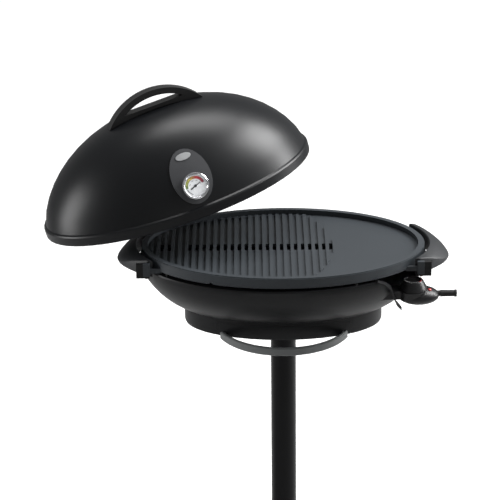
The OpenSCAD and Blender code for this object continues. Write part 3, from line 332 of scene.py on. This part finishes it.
def finish(name, colour, rough, drift=0.15, patch=0.12, specks=0.03, pebble=0.0008, bump=0.12,
           specular=0.5, coat=0.0):
    """A material with a drifting tone and a pebbled skin."""
    made = bpy.data.materials.new(name)
    made.use_nodes = True
    tree = made.node_tree
    body = tree.nodes["Principled BSDF"]
    tone = group_node(tree, TONE, Colour=(*colour, 1), Roughness=rough, Drift=drift,
                      Patch=patch, Specks=specks)
    skin = group_node(tree, PEBBLES, Size=pebble)
    raised = tree.nodes.new("ShaderNodeBump")
    raised.inputs["Strength"].default_value = bump
    raised.inputs["Distance"].default_value = PEBBLE_DEPTH
    tree.links.new(tone.outputs["Colour"], body.inputs["Base Color"])
    tree.links.new(tone.outputs["Roughness"], body.inputs["Roughness"])
    tree.links.new(skin.outputs["Height"], raised.inputs["Height"])
    tree.links.new(raised.outputs["Normal"], body.inputs["Normal"])
    body.inputs["Specular IOR Level"].default_value = specular
    body.inputs["Coat Weight"].default_value = coat
    body.inputs["Coat Roughness"].default_value = COAT_ROUGH
    return made


def steel(name, colour, rough, along=(1, 1, 0.03), bump=0.1):
    """A bare metal with rubbed streaks along the axis whose factor is small."""
    made = bpy.data.materials.new(name)
    made.use_nodes = True
    tree = made.node_tree
    body = tree.nodes["Principled BSDF"]
    tone = group_node(tree, TONE, Colour=(*colour, 1), Roughness=rough, Drift=0.08,
                      Patch=0.03, Specks=0.0)
    streaks = group_node(tree, RUBBED, Along=along, Roughness=rough)
    raised = tree.nodes.new("ShaderNodeBump")
    raised.inputs["Strength"].default_value = bump
    raised.inputs["Distance"].default_value = STREAK_DEPTH
    tree.links.new(tone.outputs["Colour"], body.inputs["Base Color"])
    tree.links.new(streaks.outputs["Roughness"], body.inputs["Roughness"])
    tree.links.new(streaks.outputs["Height"], raised.inputs["Height"])
    tree.links.new(raised.outputs["Normal"], body.inputs["Normal"])
    body.inputs["Metallic"].default_value = 1.0
    return made


# %% Finishes of the grill
LID_LACQUER = finish(
    "lid_lacquer", (0.003, 0.0034, 0.0042), 0.36, drift=0.05, patch=0.2, specks=0.01,
    pebble=0.0006, bump=0.05, specular=0.25)
POLE_LACQUER = finish(
    "pole_lacquer", (0.0018, 0.0018, 0.0022), 0.24, drift=0.05, patch=0.2, specks=0.01,
    bump=0.04, specular=0.12)
HOUSING_PLASTIC = finish(
    "housing_plastic", (0.0048, 0.005, 0.0056), 0.42, drift=0.06, patch=0.15, bump=0.10,
    specular=0.16)
HANDLE_PLASTIC = finish(
    "handle_plastic", (0.011, 0.012, 0.0135), 0.5, drift=0.06, patch=0.06, bump=0.16, specular=0.3)
BRACKET_PLASTIC = finish("bracket_plastic", (0.005, 0.005, 0.005), 0.5, patch=0.05, specular=0.2)
GRIP_GLOSS = finish(
    "grip_gloss", (0.004, 0.004, 0.0042), 0.3, drift=0.08, patch=0.03, pebble=0.0008, bump=0.2,
    specular=0.4)
PLATE_COAT = finish(
    "plate_coat", (0.026, 0.030, 0.034), 0.42, drift=0.06, patch=0.09, specks=0.05,
    pebble=0.0009, bump=0.14, specular=0.25)
LOOP_PAINT = finish("loop_paint", (0.085, 0.09, 0.09), 0.42, drift=0.08, patch=0.06, specular=0.4)
CONTROL_PLASTIC = finish(
    "control_plastic", (0.0055, 0.0055, 0.006), 0.38, patch=0.03, pebble=0.0009, bump=0.6,
    specular=0.3)
SOFT_RUBBER = finish(
    "soft_rubber", (0.012, 0.012, 0.012), 0.7, patch=0.05, specks=0.08, specular=0.25)
LAMP_RED = finish(
    "lamp_red", (0.3, 0.012, 0.012), 0.2, drift=0.1, patch=0.01, specks=0.0, bump=0.02, coat=0.5)
BADGE_GREY = finish(
    "badge_grey", (0.040, 0.041, 0.044), 0.38, drift=0.05, patch=0.05, bump=0.05, specular=0.35)
PRINT_WHITE = finish(
    "print_white", (0.55, 0.55, 0.54), 0.5, drift=0.1, patch=0.004, specks=0.0, bump=0.05)
PRINT_RED = finish(
    "print_red", (0.45, 0.02, 0.03), 0.45, drift=0.1, patch=0.004, specks=0.0, bump=0.05)
PRINT_BLACK = finish(
    "print_black", (0.015, 0.015, 0.016), 0.4, drift=0.1, patch=0.004, specks=0.0, bump=0.05)
FACE_ENAMEL = finish(
    "face_enamel", (0.78, 0.78, 0.77), 0.35, drift=0.03, patch=0.01, specks=0.0, bump=0.03)
BRASS = steel("contact_brass", (0.6, 0.42, 0.2), 0.35, along=(0.03, 1, 1))
BARE_STEEL = steel("bare_steel", (0.45, 0.45, 0.46), 0.32)
DARK_STEEL = steel("heat_dark_steel", (0.12, 0.11, 0.11), 0.45, along=(0.1, 1, 1))
SHEET_ALUMINIUM = steel("sheet_aluminium", (0.62, 0.63, 0.64), 0.36, along=(0.04, 1, 1))
BLACK_SCREW = steel("black_screw", (0.05, 0.05, 0.052), 0.4)
CHROME = steel("bezel_chrome", (0.72, 0.73, 0.75), 0.12, along=(1, 1, 1), bump=0.02)


THIN_IOR = 1.2
# The band's colours at the shares of its length where they stand
SCALE_START, SCALE_END = (0.10, 0.17, 0.05, 1), (0.16, 0.012, 0.03, 1)
SCALE_STOPS = (
    (0.25, (0.33, 0.34, 0.06, 1)),
    (0.48, (0.40, 0.24, 0.05, 1)),
    (0.66, (0.50, 0.03, 0.04, 1)),
)


def clear_glass():
    """A thin clear cover: hardly bent light, with a faint smear in its gloss."""
    made = finish("clear_glass", (0.97, 0.98, 1.0), 0.03, drift=0.02, patch=0.01, specks=0.0,
                  bump=0.01)
    body = made.node_tree.nodes["Principled BSDF"]
    body.inputs["Transmission Weight"].default_value = 1.0
    body.inputs["IOR"].default_value = THIN_IOR
    return made


def heat_scale():
    """The gauge's printed band, coloured by the share of its length at each corner."""
    made = finish("heat_scale", (0.5, 0.5, 0.1), 0.4, drift=0.05, patch=0.004, specks=0.0,
                  bump=0.03)
    tree = made.node_tree
    share = tree.nodes.new("ShaderNodeAttribute")
    share.attribute_name = "share"
    ramp = tree.nodes.new("ShaderNodeValToRGB")
    ramp.color_ramp.elements[0].color = SCALE_START
    ramp.color_ramp.elements[1].color = SCALE_END
    for at, colour in SCALE_STOPS:
        ramp.color_ramp.elements.new(at).color = colour
    tree.links.new(share.outputs["Fac"], ramp.inputs["Fac"])
    body = tree.nodes["Principled BSDF"]
    tree.links.new(ramp.outputs["Color"], body.inputs["Base Color"])
    return made


GLASS, HEAT_SCALE = clear_glass(), heat_scale()
print("finishes", len(bpy.data.materials))

# %% [markdown]
# ## Dressing the pieces that keep their CAD shape
#
# Most pieces keep the exact shape that the CAD model gives them, and only get a finish.
# The table lists each finish with its pieces.

# %% Finishes on CAD pieces
DRESS = {
    LID_LACQUER: ["lid_shell"],
    POLE_LACQUER: ["base_plate", "lower_tube", "middle_tube", "upper_tube", "pole_socket"],
    HOUSING_PLASTIC: ["housing_bowl", "tray_front", "floor_plate", "tray_runners",
                      "controller_guard"],
    HANDLE_PLASTIC: ["left_handle", "right_handle"],
    BRACKET_PLASTIC: ["left_bracket", "right_bracket", "terminal_block"],
    GRIP_GLOSS: ["lid_handle"],
    PLATE_COAT: ["grill_plate"],
    LOOP_PAINT: ["tray_loop"],
    CONTROL_PLASTIC: ["controller_top", "controller_base", "temperature_dial", "dial_cap"],
    SOFT_RUBBER: ["base_pad", "rim_pads", "strain_relief"],
    LAMP_RED: ["lamp_lens"],
    BADGE_GREY: ["badge_plate"],
    BRASS: ["contact_sleeves"],
    BARE_STEEL: ["lower_sleeve", "upper_sleeve", "socket_screws", "floor_screws",
                 "element_clips", "terminal_pins", "block_screws", "handle_screws",
                 "loop_screws", "sensor_probe", "controller_screws", "lid_handle_screws",
                 "gauge_case", "gauge_nut"],
    DARK_STEEL: ["heating_element"],
    SHEET_ALUMINIUM: ["heat_shield", "drip_pan", "badge_inlay"],
    BLACK_SCREW: ["collar_screws"],
    CHROME: ["gauge_bezel"],
    FACE_ENAMEL: ["gauge_face"],
    GLASS: ["gauge_glass"],
    PRINT_BLACK: ["gauge_pointer"],
}
for coat, names in DRESS.items():
    for name in names:
        NODES[name].data.materials.clear()
        NODES[name].data.materials.append(coat)

# %% [markdown]
# ## Smoothing the pieces drawn as facets
#
# The lid with its badge, the housing with the tray's front, and the handles come from the
# CAD model with flat facets. On the real object they are pressed or moulded smooth. A copy
# of each has its doubled corners merged, and its normals smoothed except at real edges,
# and stands for the CAD piece.

# %% Smooth copies


SHARP = math.radians(28.0)
SAME_PLACE = 1e-6
NO_LENGTH = 1e-7


def smooth_copy(node, name, body):
    """A merged copy of a CAD node with smooth normals, which replaces the node."""
    mesh = NODES[node].data.copy()
    mesh.name = name
    work = bmesh.new()
    work.from_mesh(mesh)
    bmesh.ops.remove_doubles(work, verts=work.verts, dist=SAME_PLACE)
    bmesh.ops.dissolve_degenerate(work, edges=work.edges, dist=NO_LENGTH)
    for face in work.faces:
        face.smooth = True
    for edge in work.edges:
        edge.smooth = len(edge.link_faces) == 2 and edge.calc_face_angle(0.0) < SHARP
    work.to_mesh(mesh)
    work.free()
    piece = bpy.data.objects.new(name, mesh)
    scene.collection.objects.link(piece)
    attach(piece, body)
    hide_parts(node)
    return piece


# Each CAD node, the name of its smooth copy, and the body that it rides on
SMOOTHED = (
    ("lid_shell", "lid_dome", "lid"),
    ("housing_bowl", "housing_shell", "stand"),
    ("tray_front", "tray_panel", "tray"),
    ("left_handle", "left_grip", "plate"),
    ("right_handle", "right_grip", "plate"),
    ("badge_plate", "badge_oval", "lid"),
    ("badge_inlay", "badge_blank", "lid"),
)
for node, name, body in SMOOTHED:
    made = smooth_copy(node, name, body)
    print(made.name, len(made.data.polygons), "faces")

# %% [markdown]
# ## Rows of small bars
#
# The ticks of the gauge, the marks on the dial's top and the grips round its skirt are all
# rows of small bars on an arc. They could be made one by one in a loop, but a Geometry
# Nodes tree says the rule once: points on an arc, a bar on each, turned to face outwards.
# Its sizes are named inputs, so that every row is the same tree with other values.

# %% A tree for bars on an arc


def arc_tree():
    """Count bars, each Bar in size and leaning by Lean, on an arc from Start over Sweep."""
    tree = bpy.data.node_groups.new("bars_on_arc", "GeometryNodeTree")
    inputs = (
        ("Count", "NodeSocketInt", 12),
        ("Radius", "NodeSocketFloat", 0.01),
        ("Height", "NodeSocketFloat", 0.0),
        ("Start", "NodeSocketFloat", 0.0),
        ("Sweep", "NodeSocketFloat", 6.0),
        ("Lean", "NodeSocketFloat", 0.0),
        ("Bar", "NodeSocketVector", (0.001, 0.001, 0.001)),
        ("Finish", "NodeSocketMaterial", None),
    )
    for label, kind, value in inputs:
        socket = tree.interface.new_socket(label, in_out="INPUT", socket_type=kind)
        if value is not None:
            socket.default_value = value
    tree.interface.new_socket("Geometry", in_out="OUTPUT", socket_type="NodeSocketGeometry")
    nodes, links = tree.nodes, tree.links
    into, out = nodes.new("NodeGroupInput"), nodes.new("NodeGroupOutput")

    def math_node(operation, first, second):
        node = nodes.new("ShaderNodeMath")
        node.operation = operation
        for socket, source in zip(node.inputs, (first, second)):
            if isinstance(source, (int, float)):
                socket.default_value = source
            elif source is not None:
                links.new(source, socket)
        return node.outputs[0]

    index = nodes.new("GeometryNodeInputIndex")
    steps = math_node("SUBTRACT", into.outputs["Count"], 1)
    share = math_node("DIVIDE", index.outputs[0], steps)
    along = math_node("MULTIPLY", share, into.outputs["Sweep"])
    angle = math_node("ADD", into.outputs["Start"], along)
    place = nodes.new("ShaderNodeCombineXYZ")
    for axis, operation in (("X", "COSINE"), ("Y", "SINE")):
        part = math_node(operation, angle, None)
        links.new(math_node("MULTIPLY", into.outputs["Radius"], part), place.inputs[axis])
    links.new(into.outputs["Height"], place.inputs["Z"])
    points = nodes.new("GeometryNodePoints")
    links.new(into.outputs["Count"], points.inputs["Count"])
    links.new(place.outputs[0], points.inputs["Position"])
    bar = nodes.new("GeometryNodeMeshCube")
    links.new(into.outputs["Bar"], bar.inputs["Size"])
    turn = nodes.new("ShaderNodeCombineXYZ")
    links.new(into.outputs["Lean"], turn.inputs["Y"])
    links.new(angle, turn.inputs["Z"])
    row = nodes.new("GeometryNodeInstanceOnPoints")
    links.new(points.outputs[0], row.inputs["Points"])
    links.new(bar.outputs["Mesh"], row.inputs["Instance"])
    links.new(turn.outputs[0], row.inputs["Rotation"])
    real = nodes.new("GeometryNodeRealizeInstances")
    links.new(row.outputs[0], real.inputs[0])
    coat = nodes.new("GeometryNodeSetMaterial")
    links.new(real.outputs[0], coat.inputs["Geometry"])
    links.new(into.outputs["Finish"], coat.inputs["Material"])
    links.new(coat.outputs[0], out.inputs["Geometry"])
    return tree


BARS = arc_tree()
SOCKET = {item.name: item.identifier
          for item in BARS.interface.items_tree if item.in_out == "INPUT"}


def plain_mesh(thing):
    """The mesh of an object as its modifiers or its type make it."""
    bpy.context.view_layer.update()
    depsgraph = bpy.context.evaluated_depsgraph_get()
    return bpy.data.meshes.new_from_object(thing.evaluated_get(depsgraph))


def row_on_arc(name, body, place, coat, **sizes):
    """One plain mesh with a row of bars, set at place, which rides on body."""
    piece = bpy.data.objects.new(name, bpy.data.meshes.new(name))
    scene.collection.objects.link(piece)
    row = piece.modifiers.new("row", "NODES")
    row.node_group = BARS
    for label, value in sizes.items():
        row[SOCKET[label]] = value
    row[SOCKET["Finish"]] = coat
    made = plain_mesh(piece)
    piece.modifiers.remove(row)
    piece.data = made
    made.transform(place)
    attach(piece, body)
    print(name, len(made.polygons), "faces")
    return piece


# %% [markdown]
# ## The heat gauge
#
# The gauge's place and tilt come from the joint of its pointer, and its own right-hand
# direction from the turn of the lid. Its face carries a band that runs from green over
# yellow to red, ticks inside the band, and a few plain numbers, as any heat gauge has.

# %% The gauge's own frame
JOINTS = {joint["name"]: joint for joint in frame["joints"]}


def frame_at(origin, out_axis, right_axis):
    """A matrix whose origin, Z and X are as given."""
    out_axis = Vector(out_axis).normalized()
    right = (Vector(right_axis) - out_axis * out_axis.dot(Vector(right_axis))).normalized()
    up = out_axis.cross(right)
    made = Matrix((right, up, out_axis)).transposed().to_4x4()
    made.translation = Vector(origin)
    return made


swing = JOINTS["lid_swing"]
lid_turned = Matrix.Rotation(math.radians(-swing["range_deg"][0]), 3, Vector(swing["axis"]))
pointer = JOINTS["pointer_turn"]
GAUGE = frame_at(pointer["pos_m"], pointer["axis"], lid_turned @ Vector((1, 0, 0)))
face_points = [GAUGE.inverted() @ v.co for v in NODES["gauge_face"].data.vertices]
FACE_HIGH = max(v.z for v in face_points)
FACE_R = max(math.hypot(v.x, v.y) for v in face_points)
print("gauge face radius", round(FACE_R, 4), "height", round(FACE_HIGH, 4))

# %% The printed band, ticks and numbers
# The print lies a hair above the face
PRINT_HIGH = FACE_HIGH + 0.00006
BAND_START, BAND_END = math.radians(181), math.radians(6)
BAND_IN, BAND_OUT = FACE_R * 0.60, FACE_R * 0.84
BAND_STEPS = 48
COOL_START, COOL_END = math.radians(187), math.radians(236)
COOL_IN, COOL_OUT = FACE_R * 0.70, FACE_R * 0.76
TICK_START, TICK_SWEEP = math.radians(-20), math.radians(250)
TICK_R, LONG_TICK_R = FACE_R * 0.90, FACE_R * 0.885
TICK_BAR = (FACE_R * 0.05, 0.00014, 0.0001)
LONG_TICK_BAR = (FACE_R * 0.10, 0.0003, 0.0001)
NUMBER_R, NUMBER_SIZE = FACE_R * 0.46, 0.0028
NUMBER_START, NUMBER_SWEEP = math.radians(10), math.radians(190)


def band(name, start, end, inner, outer, coat):
    """A flat ring segment on the gauge's face, whose corners carry their share of the way along."""
    mesh = bpy.data.meshes.new(name)
    corners, shares, faces = [], [], []
    for i in range(BAND_STEPS + 1):
        share = i / BAND_STEPS
        angle = start + (end - start) * share
        for radius in (inner, outer):
            corners.append((radius * math.cos(angle), radius * math.sin(angle), PRINT_HIGH))
            shares.append(share)
        if i:
            k = 2 * i
            faces.append((k - 2, k, k + 1, k - 1))
    mesh.from_pydata(corners, [], faces)
    work = bmesh.new()
    work.from_mesh(mesh)
    for face in work.faces:
        if face.normal.z < 0:
            face.normal_flip()
    work.to_mesh(mesh)
    work.free()
    mesh.attributes.new("share", "FLOAT", "POINT").data.foreach_set("value", shares)
    mesh.transform(GAUGE)
    mesh.materials.append(coat)
    piece = bpy.data.objects.new(name, mesh)
    scene.collection.objects.link(piece)
    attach(piece, "lid")
    return piece


band("gauge_heat_band", BAND_START, BAND_END, BAND_IN, BAND_OUT, HEAT_SCALE)
band("gauge_cool_line", COOL_START, COOL_END, COOL_IN, COOL_OUT, PRINT_BLACK)
row_on_arc("gauge_ticks", "lid", GAUGE, PRINT_BLACK, Count=41, Radius=TICK_R,
           Height=FACE_HIGH, Start=TICK_START, Sweep=TICK_SWEEP, Bar=TICK_BAR)
row_on_arc("gauge_long_ticks", "lid", GAUGE, PRINT_BLACK, Count=9, Radius=LONG_TICK_R,
           Height=FACE_HIGH, Start=TICK_START, Sweep=TICK_SWEEP, Bar=LONG_TICK_BAR)


def numbers(name, words, place, radius, start, sweep, height, size, body, coat):
    """Plain numbers on an arc round place's Z, upright, as one flat mesh."""
    whole = bpy.data.meshes.new(name)
    joined = bmesh.new()
    for i, word in enumerate(words):
        angle = start + sweep * i / (len(words) - 1)
        text = bpy.data.curves.new(name + "_text", "FONT")
        text.body, text.size = word, size
        text.align_x, text.align_y = "CENTER", "CENTER"
        text.resolution_u = 2
        holder = bpy.data.objects.new(name + "_text", text)
        scene.collection.objects.link(holder)
        flat = plain_mesh(holder)
        spot = (radius * math.cos(angle), radius * math.sin(angle), height)
        flat.transform(place @ Matrix.Translation(spot))
        joined.from_mesh(flat)
        bpy.data.objects.remove(holder)
        bpy.data.meshes.remove(flat)
        bpy.data.curves.remove(text)
    joined.to_mesh(whole)
    joined.free()
    whole.materials.clear()
    whole.materials.append(coat)
    piece = bpy.data.objects.new(name, whole)
    scene.collection.objects.link(piece)
    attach(piece, body)
    return piece


numbers("gauge_numbers", ["250", "200", "150", "100", "50"], GAUGE, NUMBER_R, NUMBER_START,
        NUMBER_SWEEP, PRINT_HIGH, NUMBER_SIZE, "lid", PRINT_BLACK)

# %% [markdown]
# ## The dial
#
# The dial turns on the controller, so its marks ride on the dial's body. The photograph
# shows pale marks round its dished top and a red one at the right.

# %% Marks and grips on the dial
turn = JOINTS["dial_turn"]
dial_low, dial_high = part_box("temperature_dial")
DIAL = frame_at((turn["pos_m"][0], turn["pos_m"][1], 0), turn["axis"], (1, 0, 0))
DIAL_R = (dial_high[0] - dial_low[0]) / 2
DIAL_TOP = dial_high[2]
MARK_R = DIAL_R - 0.0098
# The grips stand halfway down the dial's skirt and lean as it does
GRIP_R, GRIP_HIGH = DIAL_R - 0.0032, DIAL_TOP - 0.0100
GRIP_LEAN = math.radians(-26.6)
row_on_arc("dial_marks", "dial", DIAL, PRINT_WHITE, Count=17, Radius=MARK_R, Height=DIAL_TOP,
           Start=math.radians(60), Sweep=math.radians(240), Bar=(0.0016, 0.0005, 0.0002))
row_on_arc("dial_red_marks", "dial", DIAL, PRINT_RED, Count=5, Radius=MARK_R, Height=DIAL_TOP,
           Start=math.radians(-38), Sweep=math.radians(66), Bar=(0.0018, 0.0012, 0.0002))
row_on_arc("dial_grips", "dial", DIAL, CONTROL_PLASTIC, Count=45, Radius=GRIP_R,
           Height=GRIP_HIGH, Start=0.0, Sweep=math.radians(352), Lean=GRIP_LEAN,
           Bar=(0.0007, 0.0008, 0.0068))
